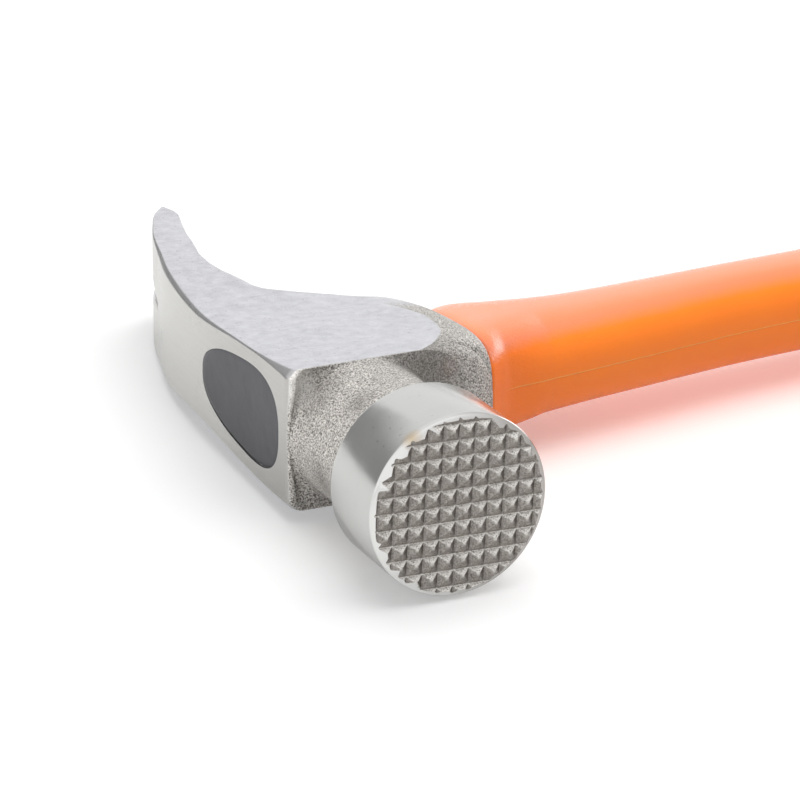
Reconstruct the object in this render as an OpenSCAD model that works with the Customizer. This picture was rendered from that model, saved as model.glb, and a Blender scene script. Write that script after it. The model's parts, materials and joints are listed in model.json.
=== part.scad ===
// Framing hammer lying on its side, with a milled face, a rip claw and a moulded handle.
// Millimetres. The origin is the middle of the striking face, in the plane of its points.
// +X runs down the handle, +Y runs back to the claw and +Z is up, across the cheeks.

/* [Striking face] */
// Diameter of the poll
poll_d = 36; // [33:0.5:40]
// Length of the turned poll, from the points to its back edge
poll_len = 18.7; // [15:0.1:22]
// Spacing of the milled points
tip_pitch = 3.2; // [3:0.1:4.5]
// Width of the flat left on each point
tip_flat = 0.4; // [0.2:0.05:0.6]
// Depth of the milled grooves
groove_depth = 1.15; // [0.7:0.05:1.4]
// How far the bottom of each level groove sits below the middle of its mouth
groove_lean_len = 0.5; // [0:0.1:0.8]
// Width of the chamfer round the face
rim_chamfer = 0.8; // [0.5:0.1:1.4]
// Turn of the milling about the poll's axis, in degrees
milling_turn = 2; // [-10:1:10]
// Step from the poll's axis down the handle to the nearest point
tip_shift_x = 0.95; // [-1.6:0.05:1.6]
// Step from the poll's axis up to the nearest point
tip_shift_z = -0.95; // [-1.6:0.05:1.6]

/* [Head] */
// Length of the head from the points to the tips of the claw
head_len = 149; // [140:1:160]
// Distance from the points to the front wall of the eye block
wall_y = 42.2; // [40:0.2:44]
// Diameter of the neck at its thinnest
neck_d = 28.4; // [26:0.2:30]
// Height of the top surface above the poll's axis
top_rise = 16; // [14:0.2:17.6]
// Distance from the poll's axis down to the end of the skirt
skirt_drop = 29.5; // [27:0.5:32]
// How far the skirt's end sits before the eye's middle
skirt_forward_len = 1.8; // [0:0.2:2.4]
// Width across the cheeks at the front wall
cheek_w = 28.9; // [27:0.1:31]
// Bevel between the top surface and the cheeks, at the front wall
cheek_bevel = 1.7; // [1:0.1:2.4]
// Length of the nail slot
slot_len = 25; // [18:1:30]
// How far the narrow end of the slot slopes towards the eye, from the outer surface inwards
slot_slope_len = 2; // [0:0.5:5]
// Gap between the tips of the claw
tip_gap = 10; // [8:0.5:12]
// Gap at the bottom of the nail slot
apex_gap = 1.8; // [1.2:0.2:2.6]
// Width of the bevel on the inner edges of the nail slot
slot_bevel = 1.3; // [0.6:0.1:2]

/* [Eye] */
// Distance from the points to the middle of the eye
eye_y = 66; // [65:0.2:67]
// Length of the eye at the top surface
eye_len = 38.6; // [36:0.2:40]
// Width of the eye at the top surface
eye_w = 18.8; // [16:0.2:19.6]
// Length of the eye at the end of the skirt
eye_end_len = 27; // [25:0.5:30]
// Width of the eye at the end of the skirt
eye_end_w = 16.4; // [15.4:0.2:18]
// Depth of the bonding resin below the top surface
resin_recess = 0.7; // [0.3:0.1:2]

/* [Handle] */
// Distance from the poll's axis to the butt end
handle_len = 390; // [330:5:420]
// Length of the fibreglass core's section
core_len = 17.6; // [15:0.2:18.4]
// Width of the fibreglass core's section
core_w = 13; // [11:0.2:14]
// Distance from the top surface down to the top of the core
core_recess = 4; // [2:0.5:8]
// Distance that the core stops short of the butt end
core_short = 12; // [8:1:20]
// Length of the collar's section where it meets the head
collar_len = 37; // [35:0.2:38]
// Width of the collar where it meets the head
collar_w = 19.6; // [18:0.2:21]
// How far the collar swells on each side, just past the head
collar_bulge_w = 1.3; // [0:0.1:1.6]
// Length of the shaft's section
shaft_len = 21; // [20:0.5:24]
// Width of the shaft's section
shaft_w = 19.4; // [17:0.2:21]
// How far the shaft bows towards the claw
sweep_len = 10; // [0:1:14]

/* [Grip] */
// Length of the grip
grip_len = 132; // [110:1:150]
// Thickness of the grip at its front edge
grip_wall = 1.6; // [1:0.1:2]
// Length of the grip's section at its swell
grip_swell_len = 32; // [29:0.5:36]
// Width of the grip at its swell
grip_swell_w = 26; // [25:0.5:28]
// Number of grooves round the grip
grip_grooves = 9; // [5:1:11]
// Spacing of the grooves
groove_pitch = 7; // [6:0.5:8]
// Depth of each groove
grip_groove_depth = 0.9; // [0.4:0.1:1.1]
// Thickness of the grip beyond the end of the jacket
butt_wall = 4; // [3:0.5:6]

/* [Hidden] */

// Length that a cut runs past the surface it opens
overrun = 1;
// Least half width of the belly, and least width of the shoulder beside it
edge_round = 0.35;
// Points in each quarter of an oval section
quarter = 8;
// Points down the curved shoulder of a head section
shoulder = 7;
// Sides of the turned poll
round_fn = 96;

// How square each curve is: 2 is an ellipse and more is squarer
eye_power = 2.6;
core_power = 2.3;
collar_power = 3.2;
shaft_power = 2.4;
grip_power = 2.4;
// How square the shoulder is where a cheek turns in to the belly: 1 is round and less is squarer
shoulder_power = 0.9;

// How much fuller each egg-shaped section is before its middle than behind it
eye_lean_share = 0.24;
collar_lean_share = 0.2;

// How far the field of points stands proud of the poll's rim, in shares of rim_chamfer
rim_proud_share = 0.6;

// The head's curves. Places from 0 to 1 run from the front wall to the back of the skirt, and
// places from 1 to 2 run on from there to the tips of the claw.
// Height of the top surface, in shares of top_rise
top_shares = [[0, 0.995], [0.43, 0.97], [0.91, 0.953], [1.08, 0.938], [1.23, 0.89], [1.35, 0.83],
    [1.455, 0.742], [1.56, 0.62], [1.745, 0.39], [1.85, 0.215], [1.955, 0.01], [2, -0.13]];
// Half width across the ground cheeks, in shares of cheek_w
cheek_shares = [[0, 0.5], [0.19, 0.476], [0.43, 0.45], [0.69, 0.427], [0.93, 0.401],
    [1.08, 0.393], [1.2, 0.403], [1.325, 0.423], [1.47, 0.431], [2, 0.429]];
// Width of the outer bevel, in shares of cheek_bevel
bevel_shares = [[0, 1], [0.135, 0.6], [0.355, 0.22], [0.575, 0.17], [0.835, 0.25], [1.08, 0.4],
    [1.26, 0.48], [1.55, 0.45], [1.73, 0.2], [2, 0.06]];
// Lower edge of the ground flat, in shares of skirt_drop
flat_shares = [[0, 0.4], [0.073, 0.53], [0.117, 0.59], [0.187, 0.668], [0.246, 0.72],
    [0.312, 0.759], [0.393, 0.786], [0.478, 0.797], [0.577, 0.793], [0.724, 0.74], [0.853, 0.675],
    [0.967, 0.6], [1.027, 0.498], [1.072, 0.393], [1.146, 0.17], [1.202, 0], [1.27, -0.075],
    [1.35, -0.092], [1.415, -0.092], [1.5, -0.08], [1.56, -0.06], [1.645, -0.017],
    [1.73, 0.017], [1.835, 0.082], [1.91, 0.132], [1.95, 0.14], [2, 0.125]];
// Lower edge of the head in its middle plane, in shares of skirt_drop
belly_shares = [[0, 0.78], [0.021, 0.87], [0.043, 0.94], [0.062, 0.98], [0.08, 1], [0.981, 1],
    [1.005, 0.93], [1.034, 0.76], [1.078, 0.55], [1.13, 0.35], [1.184, 0.2], [1.247, 0.075],
    [1.303, 0.005], [1.37, -0.05], [1.44, -0.07], [1.53, -0.06], [1.645, 0], [1.73, 0.033],
    [1.835, 0.096], [1.91, 0.145], [1.95, 0.152], [2, 0.137]];
// Flat width of the belly behind the skirt, in shares of the width across the cheeks
root_shares = [[0.989, 0], [1.1, 0.3], [1.214, 0.74], [1.303, 0.95], [2, 1]];
// Places of the head's cross sections behind the front wall
block_stations_shares = [0.021, 0.043, 0.062, 0.08, 0.093, 0.11, 0.136, 0.172, 0.227, 0.301,
    0.393, 0.503, 0.613, 0.724, 0.816, 0.889, 0.945, 0.972, 0.987, 1.005, 1.034, 1.072, 1.112,
    1.157, 1.202, 1.254, 1.315, 1.393, 1.472, 1.56, 1.652, 1.742, 1.831, 1.91, 1.955, 1.985, 2];
// Points across the top surface and down each cheek, as shares of its half width and its height
top_points_shares = [0.5, 1];
cheek_points_shares = [0, 0.3, 0.55, 0.8];
belly_point_share = 0.5;
// Rounding of the claw's tips, in shares of its thickness there
tip_round_shares = [[1.91, 0], [1.955, 0.05], [1.985, 0.2], [2, 0.36]];
// The neck's sections: place in shares of the way from poll to front wall, then the flare there
// out to the front wall's outline, on its sides and on its corners
neck_shares = [[-0.04, 0.02, 0.02], [0, 0.02, 0.02], [0.12, 0.02, 0.03], [0.28, 0.04, 0.09],
    [0.42, 0.09, 0.22], [0.54, 0.16, 0.4], [0.65, 0.25, 0.58], [0.75, 0.35, 0.74],
    [0.84, 0.47, 0.84], [0.91, 0.6, 0.91], [0.96, 0.75, 0.96], [0.99, 0.9, 0.985]];

// Places of the nail slot's sections from its narrow end to the tips
slot_stations_shares = [0, 0.17, 0.34, 0.52, 0.7, 0.85, 1];

// Sections of the eye, from the top surface to the end of the skirt
eye_sections = 4;

// The handle's curves. Places are shares of the way from the end of the skirt to the butt end.
// Bow of the centre line, in shares of sweep_len
bow_shares = [[0, 0], [0.04, 0], [0.085, 0.03], [0.195, 0.46], [0.362, 0.85], [0.524, 0.93],
    [0.75, 0.55], [1, 0]];
// How far the collar keeps to the skirt's place, to its reach before and behind the centre line
// and to its egg shape: 1 is the skirt's outline and 0 is the shaft's
forward_shares = [[0, 1], [0.037, 0.5], [0.085, 0], [1, 0]];
fore_shares = [[0, 1], [0.007, 0.79], [0.017, 0.51], [0.043, 0.407], [0.085, 0.25], [0.14, 0.126],
    [0.195, 0.026], [0.362, 0], [1, 0]];
aft_shares = [[0, 1], [0.007, 1.04], [0.018, 1.09], [0.037, 0.6], [0.062, 0.341], [0.102, 0.231],
    [0.195, 0.04], [0.362, 0], [1, 0]];
lean_shares = [[0, 1], [0.048, 0]];
// Swell of the collar, in shares of collar_bulge_w
bulge_shares = [[0, 0], [0.007, 0.72], [0.02, 0.95], [0.035, 1], [0.057, 0.7], [0.085, 0.38],
    [0.14, 0.22], [0.195, 0.15], [0.362, 0], [1, 0]];
// Places of the jacket's sections
jacket_stations_shares = [0, 0.007, 0.017, 0.027, 0.037, 0.05, 0.066, 0.085, 0.113, 0.145, 0.195,
    0.254, 0.33, 0.415, 0.5, 0.59, 0.675, 0.76, 0.85, 0.935];
// Places of the core's sections, in shares of its own length
core_stations_shares = [0, 0.06, 0.12, 0.2, 0.3, 0.42, 0.55, 0.68, 0.8, 0.9, 1];

// Outline of the grip over its length: 0 is its front edge's section and 1 is its swell's
grip_shares = [[0, 0], [0.012, 0.25], [0.05, 0.5], [0.2, 0.83], [0.42, 1], [0.66, 0.7],
    [0.8, 0.87], [0.9, 1.4], [0.96, 1.52], [0.985, 1.4], [1, 0.9]];
// Places of the grip's plain sections before its grooves and behind them
grip_front_shares = [0, 0.012, 0.05, 0.1];
grip_back_shares = [0.72, 0.81, 0.9, 0.93, 0.96, 0.985, 1];
// Place where the grooves start
grooves_start_share = 0.16;
// Width of a groove's floor and of its mouth, in shares of their spacing
groove_floor_share = 0.1;
groove_mouth_share = 0.34;

poll_r = poll_d / 2;
neck_r = neck_d / 2;
skirt_y = eye_y - skirt_forward_len;
skirt_back = skirt_y + collar_len / 2;
slot_apex = head_len - slot_len;

// Cubic curve through [place, value] pairs, read at one place
function steepness(c, i) =
    let (a = max(i - 1, 0), b = min(i + 1, len(c) - 1)) (c[b][1] - c[a][1]) / (c[b][0] - c[a][0]);
function span_at(c, t, i = 0) = (i >= len(c) - 2 || t <= c[i + 1][0]) ? i : span_at(c, t, i + 1);
function curve_at(c, t) =
    let (i = span_at(c, t), w = c[i + 1][0] - c[i][0])
    let (u = min(max((t - c[i][0]) / w, 0), 1), v = 1 - u)
    c[i][1] * v * v * (1 + 2 * u) + c[i + 1][1] * u * u * (3 - 2 * u)
        + w * u * v * (steepness(c, i) * v - steepness(c, i + 1) * u);

// Straight lines through [place, value] pairs, read at one place
function line_at(c, t) =
    let (i = span_at(c, t))
    let (u = min(max((t - c[i][0]) / (c[i + 1][0] - c[i][0]), 0), 1))
    c[i][1] * (1 - u) + c[i + 1][1] * u;

// Signed power, which squares an oval's corners
function bend(v, p) = sign(v) * pow(abs(v), p);

// Oval round a centre: fore and aft are its reaches along Y, and a lean makes its front fuller
function oval(fore, aft, half, lean, power) = [for (i = [0:4 * quarter - 1])
    let (a = 90 * i / quarter, u = bend(cos(a), 2 / power), w = bend(sin(a), 2 / power))
    [u < 0 ? fore * u : aft * u, half * (1 - lean * u) * w]];

// Solid skin over a list of rings with equal counts, closed by flat ends
module skin(rings) {
    n = len(rings[0]);
    last = len(rings) - 1;
    walls = [for (k = [0:last - 1]) for (i = [0:n - 1]) for (side = [0, 1])
        let (a = k * n + i, b = k * n + (i + 1) % n)
        side == 0 ? [a, b + n, b] : [a, a + n, b + n]];
    polyhedron(
        points = [for (r = rings) each r],
        faces = concat(walls, [[for (i = [0:n - 1]) i]], [[for (i = [n - 1:-1:0]) last * n + i]]),
        convexity = 10);
}

// Head

// Distance from the points to a place on the head, and a head curve read at such a distance
function head_y(place) =
    place < 1 ? wall_y + (skirt_back - wall_y) * place
        : skirt_back + (head_len - skirt_back) * (place - 1);
function in_y(c) = [for (p = c) [head_y(p[0]), p[1]]];

// Half width of the skirt's end face at one distance from the points
function skirt_half(y) =
    let (u = (y - skirt_y) / (collar_len / 2))
    abs(u) >= 1 ? 0 : collar_w / 2 * (1 - collar_lean_share * u)
        * pow(1 - pow(abs(u), collar_power), 1 / collar_power);

// Half of a head section behind the front wall, from the top surface round to the belly
function half_section(y) =
    let (
        top = -top_rise * curve_at(in_y(top_shares), y),
        half = cheek_w * curve_at(in_y(cheek_shares), y),
        bevel = cheek_bevel * curve_at(in_y(bevel_shares), y),
        foot = skirt_drop * curve_at(in_y(flat_shares), y),
        belly = skirt_drop * line_at(in_y(belly_shares), y),
        root = half * curve_at(in_y(root_shares), y),
        end_half = min(max(skirt_half(y), root, edge_round), half - edge_round),
        pinch = line_at(in_y(tip_round_shares), y) * (foot - top),
        rise = top + pinch,
        fall = foot - pinch
    )
    concat(
        [for (k = top_points_shares) [rise, (half - bevel) * k]],
        [for (k = cheek_points_shares) [rise + bevel + (fall - rise - bevel) * k, half]],
        [for (k = [0:shoulder]) let (a = 90 * k / shoulder)
            [fall + (belly - foot) * bend(sin(a), shoulder_power),
                end_half + (half - end_half) * bend(cos(a), shoulder_power)]],
        [[belly - pinch, end_half * belly_point_share]]);

// Whole section as a ring at one distance from the points
function section_ring(y) =
    let (h = half_section(y), n = len(h))
    [for (i = [0:2 * n - 1]) let (p = i < n ? h[i] : h[2 * n - 1 - i])
        [p[0], y, i < n ? p[1] : -p[1]]];

// Neck ring: a circle that flares into the front wall's section, its corners before its sides
function neck_ring(place, side_flare, corner_flare) =
    let (wall = section_ring(wall_y), y = poll_len + (wall_y - poll_len) * place)
    [for (p = wall)
        let (a = atan2(p[2], p[0]))
        let (flare = side_flare + (corner_flare - side_flare) * abs(sin(2 * a)))
        [neck_r * cos(a) + (p[0] - neck_r * cos(a)) * flare, y,
            neck_r * sin(a) + (p[2] - neck_r * sin(a)) * flare]];

module forging() {
    skin(concat(
        [for (p = neck_shares) neck_ring(p[0], p[1], p[2])],
        [section_ring(wall_y)],
        [for (s = block_stations_shares) section_ring(head_y(s))]));
}

// Turned poll with its rim chamfer, whose field of points stands a little proud of the rim
module poll() {
    proud = rim_chamfer * rim_proud_share;
    rotate([-90, 0, 0])
        rotate_extrude($fn = round_fn)
            polygon([[0, 0], [poll_r - rim_chamfer, 0], [poll_r, rim_chamfer + proud],
                [poll_r, poll_len], [0, poll_len]]);
}

// One milled groove: a V that opens through the face and runs along Z, its bottom set off by lean
module face_groove(lean = 0) {
    mouth = (tip_pitch - tip_flat) / 2;
    wider = overrun / groove_depth;
    linear_extrude(height = 2 * poll_d, center = true)
        polygon([[-mouth - (mouth + lean) * wider, -overrun],
            [mouth + (mouth - lean) * wider, -overrun], [lean, groove_depth]]);
}

// Two crossing sets of grooves leave square points between them
module milling() {
    half_count = ceil(poll_r / tip_pitch);
    rotate([0, milling_turn, 0])
        for (i = [-half_count:half_count]) {
            translate([tip_shift_x + i * tip_pitch + tip_pitch / 2, 0, 0])
                face_groove();
            translate([0, 0, tip_shift_z + i * tip_pitch + tip_pitch / 2])
                rotate([0, 90, 0])
                    face_groove(groove_lean_len);
        }
}

// Eye, an egg-shaped hole that narrows towards the handle, as a solid to cut with or to fill
function eye_ring(x) =
    let (t = (x + top_rise) / (skirt_drop + top_rise))
    let (long = eye_len + (eye_end_len - eye_len) * t, wide = eye_w + (eye_end_w - eye_w) * t)
    [for (p = oval(long / 2, long / 2, wide / 2, eye_lean_share * (1 - t), eye_power))
        [x, centre_y(x) + p[0], p[1]]];

module eye_space(from, to) {
    skin([for (i = [0:eye_sections - 1]) eye_ring(from + (to - from) * i / (eye_sections - 1))]);
}

// One section of the nail slot, whose lower edges are bevelled; its narrow end slopes
function slot_ring(s) =
    let (
        y = slot_apex + slot_len * s,
        half = (apex_gap + (tip_gap - apex_gap) * min(s, 1)) / 2,
        up = -top_rise - overrun,
        down = skirt_drop * curve_at(in_y(flat_shares), y),
        wide = half + slot_bevel + overrun
    )
    [for (p = [[up, half], [down - slot_bevel, half], [down + overrun, wide],
            [down + overrun, -wide], [down - slot_bevel, -half], [up, -half]])
        [p[0], y - slot_slope_len * max(1 - s, 0) * (p[0] - up) / (down - up), p[1]]];

// Nail slot: a V between the two claws
module nail_slot() {
    skin([for (s = concat(slot_stations_shares, [1 + overrun / slot_len])) slot_ring(s)]);
}

module head() {
    color([0.62, 0.61, 0.59])
        difference() {
            union() {
                difference() {
                    poll();
                    milling();
                }
                forging();
            }
            eye_space(-top_rise - overrun, skirt_drop + overrun);
            nail_slot();
        }
}

// Handle

// Share of the way from the end of the skirt to the butt end
function run_of(x) = (x - skirt_drop) / (handle_len - skirt_drop);

// Centre line of the eye and the handle, seen along Z
function centre_y(x) =
    eye_y + sweep_len * curve_at(bow_shares, run_of(x)) - skirt_forward_len
        * (x < skirt_drop ? (x + top_rise) / (skirt_drop + top_rise)
            : curve_at(forward_shares, run_of(x)));

// Fibreglass core, one oval section from inside the eye to near the butt
module core_solid() {
    from = core_recess - top_rise;
    to = handle_len - core_short;
    skin([for (t = core_stations_shares) let (x = from + (to - from) * t)
        [for (p = oval(core_len / 2, core_len / 2, core_w / 2, 0, core_power))
            [x, centre_y(x) + p[0], p[1]]]]);
}

module handle_core() {
    color([0.86, 0.8, 0.6])
        core_solid();
}

// Bonding resin, which fills the eye round the core and covers its end
module eye_resin() {
    color([0.22, 0.22, 0.23])
        difference() {
            eye_space(resin_recess - top_rise, skirt_drop);
            core_solid();
        }
}

// Jacket outline at one place; the first is the skirt's end face
function jacket_ring(x) =
    let (
        t = run_of(x),
        fore = (shaft_len + (collar_len - shaft_len) * curve_at(fore_shares, t)) / 2,
        aft = (shaft_len + (collar_len - shaft_len) * curve_at(aft_shares, t)) / 2,
        side = (shaft_w + (collar_w - shaft_w) * curve_at(fore_shares, t)) / 2
            + collar_bulge_w * curve_at(bulge_shares, t),
        keep = line_at(lean_shares, t)
    )
    [for (p = oval(fore, aft, side, collar_lean_share * keep,
            shaft_power + (collar_power - shaft_power) * keep))
        [x, centre_y(x) + p[0], p[1]]];

module jacket_solid() {
    skin(concat(
        [for (t = jacket_stations_shares) jacket_ring(skirt_drop + (handle_len - skirt_drop) * t)],
        [jacket_ring(handle_len - butt_wall)]));
}

module handle_jacket() {
    color([0.95, 0.45, 0.12])
        difference() {
            jacket_solid();
            core_solid();
        }
}

// Grip

// Outline of the grip at one share of its length, set in by the depth of a groove
function grip_ring(t, inset) =
    let (
        x = handle_len - grip_len * (1 - t),
        k = curve_at(grip_shares, t),
        long = shaft_len / 2 + grip_wall,
        wide = shaft_w / 2 + grip_wall,
        reach = long + (grip_swell_len / 2 - long) * k - inset,
        side = wide + (grip_swell_w / 2 - wide) * k - inset
    )
    [for (p = oval(reach, reach, side, 0, grip_power)) [x, centre_y(x) + p[0], p[1]]];

// Grip sleeve, whose closed end covers the end of the jacket
module grip_sleeve() {
    step = groove_pitch / grip_len;
    grooves = [for (g = [0:grip_grooves - 1]) let (t = grooves_start_share + g * step)
        each [[t - step * groove_mouth_share / 2, 0],
            [t - step * groove_floor_share / 2, grip_groove_depth],
            [t + step * groove_floor_share / 2, grip_groove_depth],
            [t + step * groove_mouth_share / 2, 0]]];
    last = grooves_start_share + (grip_grooves - 1) * step + step * groove_mouth_share / 2;
    plain = [for (t = grip_back_shares) if (t > last) [t, 0]];
    color([0.09, 0.09, 0.1])
        difference() {
            skin([for (g = concat([for (t = grip_front_shares) [t, 0]], grooves, plain))
                grip_ring(g[0], g[1])]);
            jacket_solid();
            core_solid();
        }
}

head();
eye_resin();
handle_core();
handle_jacket();
grip_sleeve();
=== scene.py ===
# %% [markdown]
# # A framing hammer, lying on its side
# The hammer has a forged steel head with a milled face and a rip claw, and an orange handle
# that is bonded into the head's eye with dark resin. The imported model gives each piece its
# place. This script makes the surfaces finer, gives them their finishes and lights them.

import json
import math

import bpy
import numpy as np
from mathutils import Matrix, Vector

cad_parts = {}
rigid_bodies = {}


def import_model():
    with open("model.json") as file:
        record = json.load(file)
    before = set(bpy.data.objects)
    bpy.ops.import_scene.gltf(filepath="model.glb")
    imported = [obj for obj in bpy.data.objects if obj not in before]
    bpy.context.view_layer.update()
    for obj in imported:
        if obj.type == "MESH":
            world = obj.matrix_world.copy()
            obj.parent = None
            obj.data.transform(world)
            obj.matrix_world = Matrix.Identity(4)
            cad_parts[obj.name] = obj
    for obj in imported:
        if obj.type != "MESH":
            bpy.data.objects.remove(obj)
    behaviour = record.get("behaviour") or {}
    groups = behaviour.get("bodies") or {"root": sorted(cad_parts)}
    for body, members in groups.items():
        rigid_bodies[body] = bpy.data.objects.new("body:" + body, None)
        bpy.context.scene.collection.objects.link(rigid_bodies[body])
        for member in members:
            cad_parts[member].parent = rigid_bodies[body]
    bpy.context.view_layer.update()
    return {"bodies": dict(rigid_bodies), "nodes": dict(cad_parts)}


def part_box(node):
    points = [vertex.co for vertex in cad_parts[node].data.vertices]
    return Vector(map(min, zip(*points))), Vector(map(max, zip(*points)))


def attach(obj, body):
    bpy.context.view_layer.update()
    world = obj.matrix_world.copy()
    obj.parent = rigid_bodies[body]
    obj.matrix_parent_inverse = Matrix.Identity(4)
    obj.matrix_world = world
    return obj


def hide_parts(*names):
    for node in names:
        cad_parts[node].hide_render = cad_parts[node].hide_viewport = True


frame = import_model()

# %% [markdown]
# ## Sizes
# Lengths are in millimetres while a shape is worked out, and a mesh is scaled to metres at the
# end. The sizes that the model already holds are read from its boxes. The others are the same
# named sizes that the model was drawn with.

# %% Sizes of the pieces
MM = 0.001


def highest_mm(node):
    """Highest corner of a node of the model, in millimetres."""
    return np.array(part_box(node)[1]) / MM


head_len, poll_r = highest_mm("head")[1:]
skirt_drop = highest_mm("eye_resin")[0]
handle_len = highest_mm("grip_sleeve")[0]

# The poll and the points of its face
poll_len = 18.7
tip_pitch = 3.2
groove_depth = 1.15
tip_flat = 0.4
groove_lean = 0.5
milling_turn = math.radians(2)
tip_shift = (0.95, -0.95)

# The neck, the eye block and the claw
wall_y = 42.2
neck_r = 14.2
top_rise = 16.0
cheek_w = 28.9
cheek_bevel = 1.7
skirt_forward = 1.8
slot_len = 25.0
slot_slope = 2.0
tip_gap = 10.0
apex_gap = 1.8
slot_bevel = 1.3

# The eye and its resin
eye_y = 66.0
eye_len, eye_w = 38.6, 18.8
eye_end_len, eye_end_w = 27.0, 16.4
resin_recess = 0.7

# The handle: jacket, bow and grip
collar_len, collar_w, collar_bulge = 37.0, 19.6, 1.3
shaft_len, shaft_w = 21.0, 19.4
sweep = 10.0

grip_len, grip_wall, butt_wall = 132.0, 1.6, 4.0
grip_swell_len, grip_swell_w = 32.0, 26.0
grip_grooves, groove_pitch, grip_groove_depth = 9, 7.0, 0.9

skirt_y = eye_y - skirt_forward
skirt_back = skirt_y + collar_len / 2
print("poll radius", round(poll_r, 2), "head", round(head_len, 2), "handle", round(handle_len, 2))

# %% [markdown]
# ## Curves that shape the pieces
# Every tapering form here follows a few listed points with a smooth curve between them.
# A cubic curve passes through the points themselves, so a value in a table is the real share
# of its size at that place. Numpy reads a whole array of places at once.

# %% Curves


def smooth_through(pairs, place):
    """Cubic curve through [place, value] pairs. Its slope at each pair is that of the line
    between the pair's two neighbours, and it stays level outside the first and last pair."""
    at, value = np.array(pairs, float).T
    before = np.maximum(np.arange(len(at)) - 1, 0)
    after = np.minimum(np.arange(len(at)) + 1, len(at) - 1)
    slope = (value[after] - value[before]) / (at[after] - at[before])
    place = np.asarray(place, float)
    i = np.clip(np.searchsorted(at, place, side="right") - 1, 0, len(at) - 2)
    width = at[i + 1] - at[i]
    u = np.clip((place - at[i]) / width, 0, 1)
    v = 1 - u
    return (value[i] * v * v * (1 + 2 * u) + value[i + 1] * u * u * (3 - 2 * u)
            + width * u * v * (slope[i] * v - slope[i + 1] * u))


def straight_through(pairs, place):
    """Straight lines through [place, value] pairs."""
    at, value = np.array(pairs, float).T
    return np.interp(place, at, value)


def between(start, end, share):
    """The value at a share of the way from start to end."""
    return start + (end - start) * share


def bend(value, power):
    """Signed power: it squares or softens the corners of an oval."""
    return np.sign(value) * np.abs(value) ** power


def oval(angle, fore, aft, half, lean, power):
    """Points (along, across) of an egg: a superellipse whose reach differs before and behind its
    middle, and whose width grows by the share lean towards the front."""
    u = bend(np.cos(angle), 2 / power)
    w = bend(np.sin(angle), 2 / power)
    return np.where(u < 0, fore, aft) * u, half * (1 - lean * u) * w


# %% [markdown]
# ## From a grid of points to a mesh
# A tube is a stack of rings with the same number of points. The faces follow from the grid, so
# one helper turns any such array into a closed mesh and makes sure that its faces point out.

# %% Mesh helpers


def turn_outward(mesh):
    """Turn the faces of a closed mesh outwards: the sum of the signed volumes under its
    triangles tells which way they face."""
    mesh.calc_loop_triangles()
    corners = np.zeros(len(mesh.loop_triangles) * 3, np.int32)
    mesh.loop_triangles.foreach_get("vertices", corners)
    flat = np.zeros(len(mesh.vertices) * 3, np.float32)
    mesh.vertices.foreach_get("co", flat)
    a, b, c = flat.reshape(-1, 3)[corners.reshape(-1, 3)].transpose(1, 0, 2).astype(float)
    if (np.cross(a, b) * c).sum() < 0:
        mesh.flip_normals()


def closed_piece(name, points, faces, crease_degrees=30):
    """Make an object of the points, in millimetres, and the faces of a closed form, turned
    outwards. Its smooth shading breaks at edges sharper than crease_degrees."""
    mesh = bpy.data.meshes.new(name)
    mesh.from_pydata(points.reshape(-1, 3), [], faces)
    turn_outward(mesh)
    mesh.transform(Matrix.Scale(MM, 4))
    mesh.update()
    mesh.polygons.foreach_set("use_smooth", np.ones(len(mesh.polygons), bool))
    mesh.set_sharp_from_angle(angle=math.radians(crease_degrees))
    piece = bpy.data.objects.new(name, mesh)
    bpy.context.scene.collection.objects.link(piece)
    return piece


def tube(name, rings, crease_degrees=30):
    """Closed piece over rings of shape (rows, points, 3), with one flat face at each end."""
    rows, count = rings.shape[:2]
    row, col = np.meshgrid(np.arange(rows - 1), np.arange(count), indexing="ij")
    after = (col + 1) % count
    quads = np.stack([row * count + col, row * count + after,
                      (row + 1) * count + after, (row + 1) * count + col], -1).reshape(-1, 4)
    first = np.arange(count)[::-1]
    last = (rows - 1) * count + np.arange(count)
    return closed_piece(name, rings, [*quads.tolist(), first.tolist(), last.tolist()],
                        crease_degrees)


def combined(piece, tool, operation):
    """Cut or trim a piece by a closed tool, keep the result and drop the tool."""
    step = piece.modifiers.new("cut", "BOOLEAN")
    step.operation = operation
    step.solver = "MANIFOLD"
    step.object = tool
    shape = bpy.data.meshes.new_from_object(
        piece.evaluated_get(bpy.context.evaluated_depsgraph_get()))
    piece.modifiers.clear()
    piece.data = shape
    bpy.data.objects.remove(tool)


def points_of(piece):
    """The points of a piece in millimetres, as an array."""
    flat = np.zeros(len(piece.data.vertices) * 3, np.float32)
    piece.data.vertices.foreach_get("co", flat)
    return flat.reshape(-1, 3).astype(float) / MM


def give_values(piece, name, values):
    """Store one number per point, which a material can read by its name."""
    layer = piece.data.attributes.new(name, "FLOAT", "POINT")
    layer.data.foreach_set("value", np.asarray(values, np.float32))


# %% [markdown]
# ## The centre line of the handle
# The eye, the resin, the jacket and the grip all follow one gently bowed line, seen from the
# side. It leans forward inside the head and sweeps back towards the claw along the shaft.

# %% Centre line
bow_shares = [[0, 0], [0.04, 0], [0.085, 0.03], [0.195, 0.46], [0.362, 0.85], [0.524, 0.93],
              [0.75, 0.55], [1, 0]]
forward_shares = [[0, 1], [0.037, 0.5], [0.085, 0], [1, 0]]


def run_of(x):
    """Share of the way from the end of the skirt to the butt end."""
    return (np.asarray(x, float) - skirt_drop) / (handle_len - skirt_drop)


def depth_share(x):
    """Share of the way down through the head, from its outer surface to the end of the skirt."""
    return (np.asarray(x, float) + top_rise) / (skirt_drop + top_rise)


def centre_y(x):
    """Distance of the centre line from the striking face at each place down the handle."""
    along = run_of(x)
    forward = np.where(along < 0, depth_share(x), smooth_through(forward_shares, along))
    return eye_y + sweep * smooth_through(bow_shares, along) - skirt_forward * forward


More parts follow.
